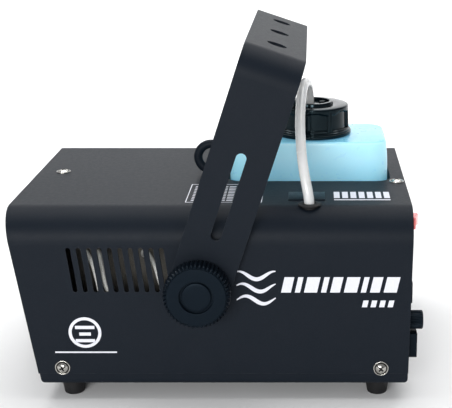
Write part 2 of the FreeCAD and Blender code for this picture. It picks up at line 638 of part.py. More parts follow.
def make_pump():
    at = ("pump_y", "pump_z")
    x0, x1 = "pump_x", "pump_x + pump_long"
    coil = rod("pump_coil", "X", "pump_radius", at, (f"{x0} + 8", f"{x1} - 14"))
    core = rod("pump_core", "X", 8, at, (x0, f"{x1} - 6"))
    front = rod("pump_front", "X", 2.4, at, (f"{x0} - 8", x0))
    rear = rod("pump_rear", "X", 2.4, at, (f"{x1} - 6", f"{x1} + 8"))
    node("pump", fuse("pump", coil, core, front, rear))
    span, floor = (f"{x0} + 12", f"{x0} + 28"), "case_floor + sheet"
    plate = box("pump_plate", span, about("pump_y", 28), (floor, f"{floor} + sheet"))
    walls = (("pump_y - pump_radius - sheet", "pump_y - pump_radius"),
             ("pump_y + pump_radius", "pump_y + pump_radius + sheet"))
    posts = [box(f"pump_post{k}", span, wall, (floor, "pump_z + 2")) for k, wall in enumerate(walls)]
    saddle = box("pump_saddle", span, about("pump_y", "pump_radius"), (f"{floor} + sheet", "pump_z - 8"))
    cradle = cut("pump_cradle", saddle, rod("pump_seat", "X", "pump_radius + 0.02", at, (x0, x1)))
    holes = [rod(f"pump_hole{k}", "Z", 1.6, spot, ("case_floor", "case_floor + 10"))
             for k, spot in enumerate(PUMP_SCREWS)]
    node("pump_bracket", cut("pump_bracket", fuse("pump_frame", plate, *posts, cradle), *holes))


def make_board():
    x, y, z = "board_x", "board_y", "board_z"
    board = box("board_plate", (x, f"{x} + board_long"), (y, f"{y} + board_wide"), (z, f"{z} + 1.6"))
    holes = [rod(f"board_hole{k}", "Z", 1.6, at, (f"{z} - 5", f"{z} + 5")) for k, at in enumerate(STANDOFFS)]
    node("control_board", cut("control_board", board, *holes))
    posts = [ring(f"standoff{k}", "Z", 3, 1.55, at, ("case_floor + sheet", z))
             for k, at in enumerate(STANDOFFS)]
    node("board_standoffs", group("board_standoffs", posts))
    top = f"{z} + 1.6"
    parts = [box("transformer", (f"{x} + 12", f"{x} + 40"), (f"{y} + 12", f"{y} + 36"), (top, f"{top} + 22")),
             box("relay", (f"{x} + 48", f"{x} + 67"), (f"{y} + 12", f"{y} + 27"), (top, f"{top} + 15")),
             box("terminals", (f"{x} + 20", f"{x} + 60"), (f"{y} + 50", f"{y} + 60"), (top, f"{top} + 12")),
             rod("capacitor", "Z", 6, (f"{x} + 76", f"{y} + 34"), (top, f"{top} + 20"))]
    node("board_parts", group("board_parts", parts))


# Sleeved leads from the heater's side, up past the vents and down to the board's terminals.
HEATER_LEADS = [
    [(-112, -40, 104), (-112, -54, 104), (-108, -78, 116), (-101, -100, 123), (-92, -111, 115),
     (-87, -113, 96), (-85, -112, 78), (-66, -110, 60), (-38, -107, 50), (-8, -104, 46), (18, -94, 52),
     (32, -76, 58), (44, -62, 56), (46, -53, 50), (46, -53, 39.6)],
    [(-94, -40, 100), (-94, -56, 100), (-92, -80, 110), (-87, -102, 118), (-83.5, -112, 106),
     (-81, -113, 90), (-70, -112, 74), (-50, -106, 66), (-22, -100, 60), (6, -94, 60), (28, -84, 64),
     (48, -66, 60), (54, -53, 50), (54, -53, 39.6)],
    [(-60, -40, 98), (-60, -56, 98), (-57, -80, 110), (-50, -102, 119), (-43, -112, 110),
     (-39, -113, 95), (-34, -112, 80), (-16, -106, 72), (10, -96, 70), (34, -80, 70), (56, -64, 64),
     (62, -53, 52), (62, -53, 39.6)],
]
# Mains leads: from the inlet to the switch, and from the fuse holder to the board.
MAINS_LEADS = [
    [(136.8, -96.5, 40), (128, -96.5, 40), (123, -105, 50), (121, -108.5, 66), (120, -108.5, 90),
     (119, -102, 110), (120, -88, 124), (123, -72.5, 133.5), (132.8, -72.5, 133.5)],
    [(128.8, -95.5, 58.5), (119, -95.5, 58.5), (106, -96.5, 56), (96, -101, 48), (92, -102, 38),
     (92, -102, 27.6)],
]


def make_wires():
    heater = [bent_tube(f"lead{k}", [V(*p) for p in route], 1.6) for k, route in enumerate(HEATER_LEADS)]
    node("heater_wires", group("heater_wires", heater))
    mains = [bent_tube(f"mains{k}", [V(*p) for p in route], 1.5) for k, route in enumerate(MAINS_LEADS)]
    node("mains_wires", group("mains_wires", mains))


# ---- back panel ------------------------------------------------------------------------------

PANEL = "chassis_back_x"
ROCKER_REST = -12


def on_circle(y, z, radius, angle):
    """Formulas for a point round a centre on the back panel."""
    return f"{y} + {radius * math.cos(angle):.3f}", f"{z} + {radius * math.sin(angle):.3f}"


def panel(low, high):
    """A span along X measured from the back panel."""
    return f"{PANEL} + {low}", f"{PANEL} + {high}"


def make_switch():
    y, z = "switch_y", "switch_z"
    bezel = box("bezel", panel(0, 2), about(y, 10.5), about(z, 7.5))
    shell = box("switch_shell", panel(-20, 0), about(y, 8.9), about(z, 5.9))
    room = box("switch_room", panel(-8, 5), about(y, 8.3), about(z, 5.4))
    node("rocker_frame", cut("rocker_frame", fuse("switch_whole", bezel, shell), room))
    paddle = prism("paddle", "XY_Plane", [("-2", "-5"), ("5", "-7.2"), ("10", "-7.2"), ("8.6", "0"),
                                         ("10", "7.2"), ("5", "7.2"), ("-2", "5")], "10.2")
    rocker = group("power_rocker", [paddle])
    node("power_rocker", place(rocker, f"{PANEL} - 1.5", y, z, "Z", ROCKER_REST))


def make_remote_socket():
    y, z = "socket_y", "socket_z"
    flange = box("socket_flange", panel(0, 3.6), about(y, 11), about(z, 8.5))
    barrel = rod("socket_barrel", "X", 7.5, (y, z), panel(-12, 1))
    cavity = rod("socket_cavity", "X", 6.4, (y, z), panel(-6, 5))
    node("remote_socket", cut("remote_socket", fuse("socket_whole", flange, barrel), cavity))
    pins = [rod(f"contact{k}", "X", 0.7, on_circle(y, z, 3.6, math.radians(45 * k)), panel(-6, 0.5))
            for k in range(5)]
    node("socket_contacts", group("socket_contacts", pins))


def make_fuse():
    y, z = "fuse_y", "fuse_z"
    body = fuse("fuse_whole", rod("fuse_flange", "X", 8, (y, z), panel(0, 1.8)),
                rod("fuse_barrel", "X", 6.3, (y, z), panel(-24, 0)))
    node("fuse_holder", cut("fuse_holder", body, rod("fuse_bore", "X", 4.8, (y, z), panel(-22, 5))))
    grip = rod("fuse_grip", "X", 7.5, (y, z), (f"{PANEL} + 2.1", "fuse_tip"))
    stem = rod("fuse_stem", "X", 4.4, (y, z), panel(-6, 3))
    grooves = [rod(f"fuse_groove{k}", "X", 0.6, on_circle(y, z, 7.6, math.radians(15 * k)),
                   (f"{PANEL} + 3.2", "fuse_tip + 1")) for k in range(24)]
    slot = box("fuse_slot", ("fuse_tip - 1.5", "fuse_tip + 1"), about(y, 5), about(z, 0.7))
    node("fuse_cap", cut("fuse_cap", fuse("fuse_cap_whole", grip, stem), *grooves, slot))
    node("fuse_link", rod("fuse_link", "X", 2.5, (y, z), panel(-22, -6.4)))


def make_inlet():
    y, z = "inlet_y", "inlet_z"
    collar = box("inlet_collar", panel(0, 7.8), about(y, 15), about(z, 9.8))
    housing = box("inlet_housing", panel(-16, 0), about(y, 13.7), about(z, 9.6))
    corners = ((-12, 8), (-12, -3), (-7, -8), (7, -8), (12, -3), (12, 8))
    mouth = prism("inlet_mouth", "YZ_Plane", [(f"{y} + {dy}", f"{z} + {dz}") for dy, dz in corners], "40")
    place(mouth, f"{PANEL} + 7", 0, 0)
    node("inlet_shell", cut("inlet_shell", fuse("inlet_whole", collar, housing), mouth))
    blades = [box(f"blade{k}", panel(-13, 3), about(f"{y} + {dy}", 1), about(f"{z} + {dz}", 2))
              for k, (dy, dz) in enumerate(((-7, 1.5), (7, 1.5), (0, -3)))]
    node("inlet_pins", group("inlet_pins", blades))


def make_top_trim():
    at = (EYE_X, EYE_Y)
    loop = doc.addObject("Part::Torus", "eye_loop")
    loop.Radius1, loop.Radius2 = 11.2, 3.7
    place(loop, EYE_X, EYE_Y, "case_top + 15.2", "X", 90)
    collar = rod("eye_collar", "Z", 7.5, at, ("case_top", "case_top + 3"))
    stud = rod("eye_stud", "Z", 2.95, at, ("case_top - 9", "case_top + 2"))
    node("safety_eye", fuse("safety_eye", loop, collar, stud))
    node("eye_nut", ring("eye_nut", "Z", 5.5, 3.0, at, ("case_top - sheet - 5", "case_top - sheet")))
    node("blank_plate", box("blank_plate", ("59", "88"), ("-82.5", "-59.5"), ("case_top", "case_top + 0.7")))


make_cover()
make_chassis()
make_feet()
make_screws()
make_yoke()
spacers, pivot_nuts = zip(*(make_knob(name, way) for name, way in SIDES.items()))
node("pivot_spacers", group("pivot_spacers", spacers))
node("pivot_nuts", group("pivot_nuts", pivot_nuts))
make_tank()
make_cap()
make_tubes()
make_heater()
make_nozzle()
make_pump()
make_board()
make_wires()
make_switch()
make_remote_socket()
make_fuse()
make_inlet()
make_top_trim()
doc.recompute()

for obj in doc.Objects:
    if "Invalid" in obj.State or "Error" in obj.State:
        raise RuntimeError(f"{obj.Label} failed: {obj.State}")
for label, obj in NODES.items():
    if obj.Shape.isNull() or not obj.Shape.isValid():
        raise RuntimeError(f"{label} is not a valid shape")
os.makedirs("parts", exist_ok=True)
for label, obj in NODES.items():
    obj.Shape.exportStep(f"parts/{label}.step")
print(len(NODES), "nodes written")
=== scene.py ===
"""The looks of the fog machine: its detailed visual pieces, their materials, the light and the camera.

Everything is in metres in the row frame: +X towards the back with its sockets, -Y towards the camera,
+Z up, origin on the floor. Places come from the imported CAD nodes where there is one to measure. Lengths
written here are millimetres, which MM turns into metres, except in material settings and where a comment
says metres.
"""

import json
import math

import bmesh
import bpy
from mathutils import Matrix, Vector


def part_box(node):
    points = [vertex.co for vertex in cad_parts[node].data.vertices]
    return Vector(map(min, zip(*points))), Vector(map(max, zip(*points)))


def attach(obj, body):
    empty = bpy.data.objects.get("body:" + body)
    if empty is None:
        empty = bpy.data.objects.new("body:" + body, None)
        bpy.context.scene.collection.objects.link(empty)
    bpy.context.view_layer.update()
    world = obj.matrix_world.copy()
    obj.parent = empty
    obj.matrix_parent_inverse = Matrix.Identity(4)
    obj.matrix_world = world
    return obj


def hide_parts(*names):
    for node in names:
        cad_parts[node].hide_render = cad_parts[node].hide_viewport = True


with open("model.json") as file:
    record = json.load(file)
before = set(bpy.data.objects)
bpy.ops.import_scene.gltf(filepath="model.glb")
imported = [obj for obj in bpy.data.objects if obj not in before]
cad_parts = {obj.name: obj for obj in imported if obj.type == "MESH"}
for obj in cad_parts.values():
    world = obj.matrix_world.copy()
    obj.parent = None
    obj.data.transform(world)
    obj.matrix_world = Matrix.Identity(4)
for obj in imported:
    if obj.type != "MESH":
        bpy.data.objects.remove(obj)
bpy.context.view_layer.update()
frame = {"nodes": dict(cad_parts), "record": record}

MM = 0.001
# Points nearer to each other than this are made one. The wider one is for rounding a CAD shape's edges.
WELD, CAD_WELD = 0.001, 0.005
HARD_EDGE = 35  # degrees between two faces, above which the edge between them is shaded hard
BEVEL_EDGE = 40  # degrees between two faces, above which the edge between them is rounded
SLOT_OF = {part["node"]: part["material_slot"] for part in frame["record"]["subparts"]}
BODY_OF = {node: body for body, nodes in frame["record"]["behaviour"]["bodies"].items() for node in nodes}


# ---- materials -------------------------------------------------------------------------------

# Cosines of the angle between a face's normal and its bevelled one: away from edges, and on an edge.
FLAT, ON_EDGE = 0.995, 0.85


class Look:
    """A procedural material, built round one Principled shader. Patterns use object coordinates."""

    def __init__(self, name, color, roughness, metallic=0.0, **sockets):
        self.material = bpy.data.materials.new(name)
        self.material.use_nodes = True
        self.tree = self.material.node_tree
        self.shader = self.tree.nodes["Principled BSDF"]
        self.shader.inputs["Base Color"].default_value = (*color, 1)
        self.shader.inputs["Roughness"].default_value = roughness
        self.shader.inputs["Metallic"].default_value = metallic
        for socket, value in sockets.items():
            self.shader.inputs[socket.replace("_", " ")].default_value = value
        self.color = (*color, 1)
        self.coordinates = self.node("ShaderNodeTexCoord").outputs["Object"]
        self.normal = None

    def node(self, kind, **settings):
        made = self.tree.nodes.new(kind)
        for key, value in settings.items():
            setattr(made, key, value)
        return made

    def link(self, source, target):
        self.tree.links.new(source, target)

    def stretched(self, stretch):
        """The object coordinates scaled, to make a pattern long one way."""
        mapping = self.node("ShaderNodeMapping")
        mapping.inputs["Scale"].default_value = stretch
        self.link(self.coordinates, mapping.inputs["Vector"])
        return mapping.outputs["Vector"]

    def noise(self, per_metre, detail=3.0, stretch=(1, 1, 1)):
        made = self.node("ShaderNodeTexNoise")
        made.inputs["Scale"].default_value = per_metre
        made.inputs["Detail"].default_value = detail
        self.link(self.stretched(stretch), made.inputs["Vector"])
        return made.outputs["Fac"]

    def height(self):
        """The height above the floor, in metres."""
        made = self.node("ShaderNodeSeparateXYZ")
        self.link(self.coordinates, made.inputs["Vector"])
        return made.outputs["Z"]

    def ranged(self, value, low, high, to_low=0.0, to_high=1.0):
        """A value mapped from one range to another, clamped."""
        made = self.node("ShaderNodeMapRange")
        for socket, number in zip(("From Min", "From Max", "To Min", "To Max"), (low, high, to_low, to_high)):
            made.inputs[socket].default_value = number
        self.link(value, made.inputs["Value"])
        return made.outputs["Result"]

    def times(self, first, second):
        made = self.node("ShaderNodeMath", operation="MULTIPLY")
        self.link(first, made.inputs[0])
        self.link(second, made.inputs[1])
        return made.outputs["Value"]

    def bevelled_normal(self, radius):
        bevel = self.node("ShaderNodeBevel", samples=4)
        bevel.inputs["Radius"].default_value = radius
        return bevel.outputs["Normal"]

    def edges(self, radius):
        """How much a point lies on an edge: the bevelled normal against the face's own."""
        bevelled = self.bevelled_normal(radius)
        geometry = self.node("ShaderNodeNewGeometry")
        dot = self.node("ShaderNodeVectorMath", operation="DOT_PRODUCT")
        self.link(bevelled, dot.inputs[0])
        self.link(geometry.outputs["Normal"], dot.inputs[1])
        return self.ranged(dot.outputs["Value"], FLAT, ON_EDGE)

    def rounded(self, radius):
        """Shade hard edges as if they had a small radius."""
        self.normal = self.bevelled_normal(radius)
        self.link(self.normal, self.shader.inputs["Normal"])
        return self

    def tint(self, factor, color):
        """Lay a colour over the base colour by a factor."""
        mix = self.node("ShaderNodeMix", data_type="RGBA")
        self.link(factor, mix.inputs["Factor"])
        base = self.shader.inputs["Base Color"]
        if base.links:
            self.link(base.links[0].from_socket, mix.inputs["A"])
        else:
            mix.inputs["A"].default_value = self.color
        mix.inputs["B"].default_value = (*color, 1)
        self.link(mix.outputs["Result"], base)
        return self

    def rough(self, value, low, high):
        """Vary the roughness between two values by a pattern, whose middle range counts."""
        self.link(self.ranged(value, 0.3, 0.7, low, high), self.shader.inputs["Roughness"])
        return self

    def bump(self, height, depth):
        """Raise the surface by a pattern, depth in metres."""
        made = self.node("ShaderNodeBump")
        made.inputs["Strength"].default_value = 1.0
        made.inputs["Distance"].default_value = depth
        self.link(height, made.inputs["Height"])
        if self.normal:
            self.link(self.normal, made.inputs["Normal"])
        self.normal = made.outputs["Normal"]
        self.link(self.normal, self.shader.inputs["Normal"])
        return self


def powder_coat():
    """Fine-textured black powder coat on folded steel, a little shinier where edges are rubbed."""
    look = Look("powder_coat", (0.0055, 0.0090, 0.0145), 0.46, IOR=1.20)
    look.rounded(0.5 * MM)
    grain = look.noise(1500, 4)
    look.tint(look.ranged(look.noise(60, 2), 0.35, 0.7, 0.0, 0.3), (0.008, 0.011, 0.017))
    look.tint(look.ranged(look.noise(2600, 2), 0.55, 0.75, 0.0, 0.5), (0.022, 0.027, 0.036))
    patches = look.ranged(look.noise(220, 3), 0.4, 0.7)
    look.tint(look.times(look.edges(0.8 * MM), patches), (0.05, 0.055, 0.062))
    look.rough(look.noise(300, 3), 0.46, 0.51)
    return look.bump(grain, 0.05 * MM)


def moulded(name, color, roughness, grain=900, depth=0.02, **sockets):
    """Moulded plastic with a fine spark-eroded grain."""
    look = Look(name, color, roughness, **sockets)
    look.rounded(0.3 * MM)
    look.tint(look.ranged(look.noise(60, 3), 0.4, 0.75, 0.0, 0.4), tuple(c * 1.5 for c in color))
    look.rough(look.noise(300, 3), roughness * 0.88, min(1.0, roughness * 1.15))
    return look.bump(look.noise(grain, 3), depth * MM)


def rubber():
    """Dull black rubber."""
    look = Look("rubber", (0.006, 0.006, 0.007), 0.62, Specular_IOR_Level=0.3)
    look.rounded(0.4 * MM)
    look.tint(look.ranged(look.noise(120, 4), 0.5, 0.8, 0.0, 0.5), (0.018, 0.018, 0.019))
    return look.bump(look.noise(1100, 3), 0.05 * MM)


def plated(name, color, roughness, scratch=(1, 1, 8)):
    """Plated metal with fine scratches and cloudy roughness."""
    look = Look(name, color, roughness, 1.0)
    look.rounded(0.2 * MM)
    look.tint(look.ranged(look.noise(180, 4), 0.45, 0.8, 0.0, 0.4), tuple(c * 0.6 for c in color))
    look.rough(look.noise(500, 4, scratch), roughness * 0.7, roughness * 1.6)
    return look.bump(look.noise(1500, 2, scratch), 0.01 * MM)


# Heights above the floor, in metres: where the tank's wall is painted paler as painted light, and where its
# top edge is painted darker as painted shade.
PAINTED_LIGHT_FROM, PAINTED_LIGHT_TO = 0.150, 0.172
PAINTED_SHADE_FROM, PAINTED_SHADE_TO = 0.1838, 0.1849


def tank_plastic():
    """Light blue translucent blow-moulded polyethylene, with a faint emission as a painted glow; painted
    paler higher up as painted light and painted darker on top as painted shade.
    """
    # The emission is a painted glow: the tank is no lamp.
    look = Look("tank_plastic", (0.28, 0.69, 0.88), 0.30, Subsurface_Weight=0.5, Subsurface_Scale=0.03,
                Subsurface_Radius=(0.6, 0.9, 1.0), Specular_IOR_Level=0.5, Coat_Weight=0.25,
                Coat_Roughness=0.3, Emission_Color=(0.28, 0.70, 0.90, 1), Emission_Strength=0.15)
    # Painted light: the wall is painted paler higher up.
    look.tint(look.ranged(look.height(), PAINTED_LIGHT_FROM, PAINTED_LIGHT_TO, 0.0, 0.55), (0.60, 0.87, 0.97))
    # Painted shade: the top edge and the top are painted darker.
    look.tint(look.ranged(look.height(), PAINTED_SHADE_FROM, PAINTED_SHADE_TO, 0.0, 1.0), (0.13, 0.47, 0.68))
    look.tint(look.ranged(look.noise(28, 3), 0.35, 0.7, 0.0, 0.45), (0.38, 0.76, 0.92))
    look.tint(look.ranged(look.noise(420, 3), 0.6, 0.8, 0.0, 0.25), (0.50, 0.83, 0.95))
    look.rough(look.noise(160, 3), 0.26, 0.36)
    return look.bump(look.noise(260, 3), 0.04 * MM)


def milky_tube():
    """Soft translucent white tube."""
    look = Look("milky_tube", (0.66, 0.67, 0.67), 0.20, Subsurface_Weight=0.6, Subsurface_Scale=0.006,
                Subsurface_Radius=(1.0, 0.95, 0.9), Specular_IOR_Level=0.6, Coat_Weight=0.3,
                Coat_Roughness=0.12)
    look.tint(look.ranged(look.noise(90, 3), 0.4, 0.7, 0.0, 0.5), (0.76, 0.76, 0.75))
    look.rough(look.noise(200, 3), 0.18, 0.28)
    return look.bump(look.noise(500, 2), 0.01 * MM)


def red_lens():
    """The rocker's red plastic, with a little light of its own."""
    look = Look("red_lens", (0.66, 0.15, 0.16), 0.18, Subsurface_Weight=0.4, Subsurface_Scale=0.004,
                Coat_Weight=0.4, Emission_Color=(1.0, 0.21, 0.21, 1), Emission_Strength=0.2)
    look.tint(look.ranged(look.noise(300, 2), 0.4, 0.7, 0.0, 0.4), (0.88, 0.16, 0.13))
    return look.bump(look.noise(700, 2), 0.01 * MM)


def print_ink():
    """Pale screen-printed ink."""
    look = Look("print_ink", (0.72, 0.73, 0.80), 0.5)
    look.tint(look.ranged(look.noise(900, 3), 0.45, 0.7, 0.0, 0.5), (0.80, 0.81, 0.87))
    return look.bump(look.noise(2500, 2), 0.01 * MM)


def fibre_wrap(name, color):
    """Woven or felted fibre with strands."""
    look = Look(name, color, 0.9, Sheen_Weight=0.3)
    strands = look.noise(900, 4, (1, 5, 1))
    look.tint(look.ranged(strands, 0.4, 0.7), tuple(c * 0.6 for c in color))
    return look.bump(strands, 0.3 * MM)


LOOKS = {
    "powder_black": powder_coat(),
    "black_plastic": moulded("black_plastic", (0.0022, 0.0042, 0.0075), 0.36, IOR=1.22,
                             Specular_Tint=(0.6, 0.82, 1.0, 1)),
    "gloss_black": moulded("gloss_black", (0.0010, 0.0032, 0.0050), 0.15, 400, 0.006, IOR=1.33,
                           Specular_Tint=(0.6, 0.88, 1.0, 1)),
    "rubber_black": rubber(),
    "nickel_steel": plated("nickel_steel", (0.50, 0.49, 0.46), 0.14),
    "plated_steel": plated("plated_steel", (0.56, 0.57, 0.58), 0.35),
    "tank_blue": tank_plastic(),
    "clear_tube": milky_tube(),
    "cast_aluminium": plated("cast_aluminium", (0.62, 0.63, 0.64), 0.5, (1, 1, 1)),
    "brass_fitting": plated("brass_fitting", (0.72, 0.52, 0.22), 0.28),
    "heat_wrap": fibre_wrap("heat_wrap", (0.20, 0.19, 0.17)),
    "sleeved_wire": fibre_wrap("sleeved_wire", (0.80, 0.80, 0.76)),
    "mains_wire": moulded("mains_wire", (0.03, 0.05, 0.22), 0.4),
    "board_green": moulded("board_green", (0.015, 0.12, 0.045), 0.35, 500),
    "board_parts": moulded("board_parts", (0.03, 0.05, 0.14), 0.4),
    "red_switch": red_lens(),
    "fuse_glass": Look("fuse_glass", (0.85, 0.9, 0.9), 0.05, Transmission_Weight=0.9, IOR=1.5),
}
INK = print_ink()
# Nickel painted dark: a painted dark reflection in the cup washers and painted shade in the screws' cross
# slots.
NICKEL_PAINTED_DARK = plated("nickel_painted_dark", (0.030, 0.029, 0.028), 0.30)


def give_materials():
    """Every CAD node gets the look of its record slot."""
    for part in frame["record"]["subparts"]:
        mesh = frame["nodes"][part["node"]].data
        mesh.materials.clear()
        mesh.materials.append(LOOKS[part["material_slot"]].material)


# ---- camera, floor and light -----------------------------------------------------------------

LENS, SIDE_SHIFT = 89.6, -0.19
CAMERA_PLACE = (77.6, -928.2, 393.5)
TILT_DOWN = 16.06  # degrees


def make_camera():
    """At the photograph's angle: above the case, square to its near side and looking down a little."""
    data = bpy.data.cameras.new("camera")
    data.lens = LENS
    data.shift_x = SIDE_SHIFT
    camera = bpy.data.objects.new("camera", data)
    camera.location = [c * MM for c in CAMERA_PLACE]
    camera.rotation_euler = (math.radians(90 - TILT_DOWN), 0, 0)
    bpy.context.scene.collection.objects.link(camera)
    bpy.context.scene.camera = camera


def make_floor():
    """A pale floor that sweeps up into a backdrop, in metres."""
    half, front, back, rise, bend = 6.0, -7.0, 3.0, 4.0, 1.2
    profile = [(front, 0), *arc((back - bend, bend), bend, -90, 0, 12), (back, rise)]
    mesh = bmesh.new()
    rows = [[mesh.verts.new((side * half, y, z)) for y, z in profile] for side in (-1, 1)]
    for i in range(len(profile) - 1):
        mesh.faces.new((rows[0][i], rows[1][i], rows[1][i + 1], rows[0][i + 1]))
    floor = finish_mesh("floor", mesh, angle=180)
    look = Look("paper", (0.86, 0.86, 0.86), 0.9)
    look.tint(look.noise(3, 2), (0.90, 0.90, 0.90))
    floor.data.materials.append(look.material)


def make_light(name, place, aim, width, height, watts):
    data = bpy.data.lights.new(name, "AREA")
    data.shape = "RECTANGLE"
    data.size, data.size_y, data.energy = width, height, watts
    lamp = bpy.data.objects.new(name, data)
    lamp.location = place
    lamp.rotation_euler = (Vector(aim) - Vector(place)).to_track_quat("-Z", "Y").to_euler()
    bpy.context.scene.collection.objects.link(lamp)


def make_lights():
    """Soft lights above, on the backdrop and in front, in metres, and a pale room."""
    make_light("overhead", place=(0, 0.4, 2.2), aim=(0, 0, 0), width=3.0, height=2.0, watts=52)
    make_light("backdrop_light", place=(0, 1.2, 2.2), aim=(0, 3.0, 0.9), width=3.5, height=1.0, watts=62)
    make_light("front", place=(-0.5, -2.4, 0.7), aim=(0, 0, 0.15), width=1.6, height=0.5, watts=42)
    world = bpy.data.worlds.new("room")
    world.use_nodes = True
    world.node_tree.nodes["Background"].inputs["Color"].default_value = (0.95, 0.97, 1.0, 1)
    world.node_tree.nodes["Background"].inputs["Strength"].default_value = 0.32
    bpy.context.scene.world = world
    bpy.context.scene.view_settings.view_transform = "Standard"


# ---- mesh helpers ----------------------------------------------------------------------------

def finish_mesh(name, mesh, *nodes, angle=HARD_EDGE):
    """Turn a bmesh into a linked object; with nodes named, it stands for them and takes their look."""
    bmesh.ops.remove_doubles(mesh, verts=mesh.verts, dist=WELD * MM)
    bmesh.ops.recalc_face_normals(mesh, faces=mesh.faces)
    data = bpy.data.meshes.new(name)
    mesh.to_mesh(data)
    mesh.free()
    made = bpy.data.objects.new(name, data)
    bpy.context.scene.collection.objects.link(made)
    shade(made, angle)
    if nodes:
        slot = SLOT_OF[nodes[0]]
        dress(made, LOOKS[slot], slot, BODY_OF[nodes[0]])
        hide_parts(*nodes)
    return made


def shade(made, angle):
    """Smooth shading with hard edges above an angle."""
    made.data.shade_smooth()
    if angle < 180:
        made.data.set_sharp_from_angle(angle=math.radians(angle))


def dress(made, look, slot, body):
    """Give a piece its look and the body that it moves with."""
    made.data.materials.append(look.material)
    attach(made, body)


def settle(made):
    """Apply a piece's modifiers to its mesh."""
    bpy.context.view_layer.update()
    graph = bpy.context.evaluated_depsgraph_get()
    done = bpy.data.meshes.new_from_object(made.evaluated_get(graph))
    made.modifiers.clear()
    made.data = done
    shade(made, HARD_EDGE)


def soften(made, width, segments=3):
    """Round a piece's sharp edges."""
    bevel = made.modifiers.new("edges", "BEVEL")
    bevel.width, bevel.segments = width * MM, segments
    bevel.limit_method, bevel.angle_limit = "ANGLE", math.radians(BEVEL_EDGE)
    settle(made)


def carve(made, mesh, look=None):
    """Cut a closed helper mesh out of a piece, with a look of its own on the cut, and drop the helper."""
    tool = finish_mesh("cutter", mesh)
    cutter = made.modifiers.new("cut", "BOOLEAN")
    if look:
        tool.data.materials.append(look.material)
        cutter.material_mode = "TRANSFER"
    cutter.object, cutter.operation, cutter.solver = tool, "DIFFERENCE", "EXACT"
    settle(made)
    bpy.data.objects.remove(tool)


def bevelled(node, width, segments=3):
    """A copy of a CAD node's shape with rounded edges, in its place."""
    mesh = bmesh.new()
    mesh.from_mesh(frame["nodes"][node].data)
    bmesh.ops.remove_doubles(mesh, verts=mesh.verts, dist=CAD_WELD * MM)
    bmesh.ops.dissolve_limit(mesh, angle_limit=math.radians(1), verts=mesh.verts, edges=mesh.edges)
    soften(finish_mesh(node + "_shape", mesh, node), width, segments)


def span(node):
    """A node's lowest and highest corners, in millimetres."""
    low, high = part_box(node)
    return Vector(low) / MM, Vector(high) / MM


def middle(node):
    low, high = span(node)
    return (low + high) / 2


def heights(node):
    """A node's lowest and highest Z, in millimetres."""
    low, high = span(node)
    return low.z, high.z


def laid(at, direction):
    """A matrix from millimetres along local Z to metres in the row frame, at a point and direction."""
    turn = Vector(direction).to_track_quat("Z", "Y").to_matrix().to_4x4()
    return Matrix.Scale(MM, 4) @ Matrix.Translation(Vector(at)) @ turn


def upright(x, y):
    """The same for a part that stands straight up, with its heights from the floor."""
    return laid((x, y, 0), (0, 0, 1))


def lathe(mesh, profile, matrix, steps=96, ripple=None):
    """Turn an outline of (radius, height) points about Z, then place it by a matrix.

    ripple(angle, radius, height) may return another radius.
    """
    rings = []
    for k in range(steps):
        angle = 2 * math.pi * k / steps
        ring = []
        for radius, height in profile:
            r = ripple(angle, radius, height) if ripple else radius
            ring.append(mesh.verts.new(matrix @ Vector((r * math.cos(angle), r * math.sin(angle), height))))
        rings.append(ring)
    for k in range(steps):
        near, far = rings[k], rings[(k + 1) % steps]
        for i in range(len(profile) - 1):
            corners = [near[i], near[i + 1], far[i + 1], far[i]]
            if profile[i][0] == 0:
                corners.remove(far[i])
            if profile[i + 1][0] == 0:
                corners.remove(far[i + 1])
            if len(corners) > 2:
                mesh.faces.new(corners)


def turned(name, profile, matrix, *nodes, steps=96, ripple=None, angle=HARD_EDGE):
    """A lathed piece that stands for CAD nodes."""
    mesh = bmesh.new()
    lathe(mesh, profile, matrix, steps, ripple)
    return finish_mesh(name, mesh, *nodes, angle=angle)


def arc(center, radius, start, end, steps=6):
    """Points on an arc, with its angles in degrees."""
    angles = (math.radians(start + (end - start) * i / steps) for i in range(steps + 1))
    return [(center[0] + radius * math.cos(a), center[1] + radius * math.sin(a)) for a in angles]


def block(mesh, matrix, size):
    """A box centred on a matrix's origin."""
    scale = Matrix.Diagonal((*size, 1))
    bmesh.ops.create_cube(mesh, size=1, matrix=matrix @ scale)


def band(mesh, low, high):
    """Faces between two rings of vertices, one above the other."""
    for i in range(len(low)):
        k = (i + 1) % len(low)
        mesh.faces.new((low[i], low[k], high[k], high[i]))


def prism(mesh, at, outline, base, top):
    """An outline pulled up from one height to another, placed by a matrix."""
    low, high = ([mesh.verts.new(at @ Vector((u, v, w))) for u, v in outline] for w in (base, top))
    mesh.faces.new(reversed(low))
    mesh.faces.new(high)
    band(mesh, low, high)


def smooth_step(value, low, high):
    """How far a value has gone from one place to another, from 0 to 1, easing in and out."""
    t = min(1.0, max(0.0, (value - low) / (high - low)))
    return t * t * (3 - 2 * t)


# ---- feed tube -------------------------------------------------------------------------------

# The free tube's control points in millimetres, from the bush in the cap over to the grommet.
TUBE_ROUTE = [
    (75.5, 14.5, 203.0), (75.5, 14.5, 213.0), (75.1, 10.7, 222.2), (74.3, 3.6, 229.3), (73.0, -6.1, 233.3),
    (71.3, -18.1, 233.7), (69.8, -30.7, 230.6), (68.8, -43.6, 224.0), (68.3, -56.1, 214.9),
    (68.5, -68.6, 204.1), (69.4, -80.1, 192.2), (71.0, -88.6, 180.5), (73.5, -94.1, 168.1),
    (75.8, -96.6, 156.2), (75.8, -96.6, 147.0),
]
TUBE_RADIUS = 4


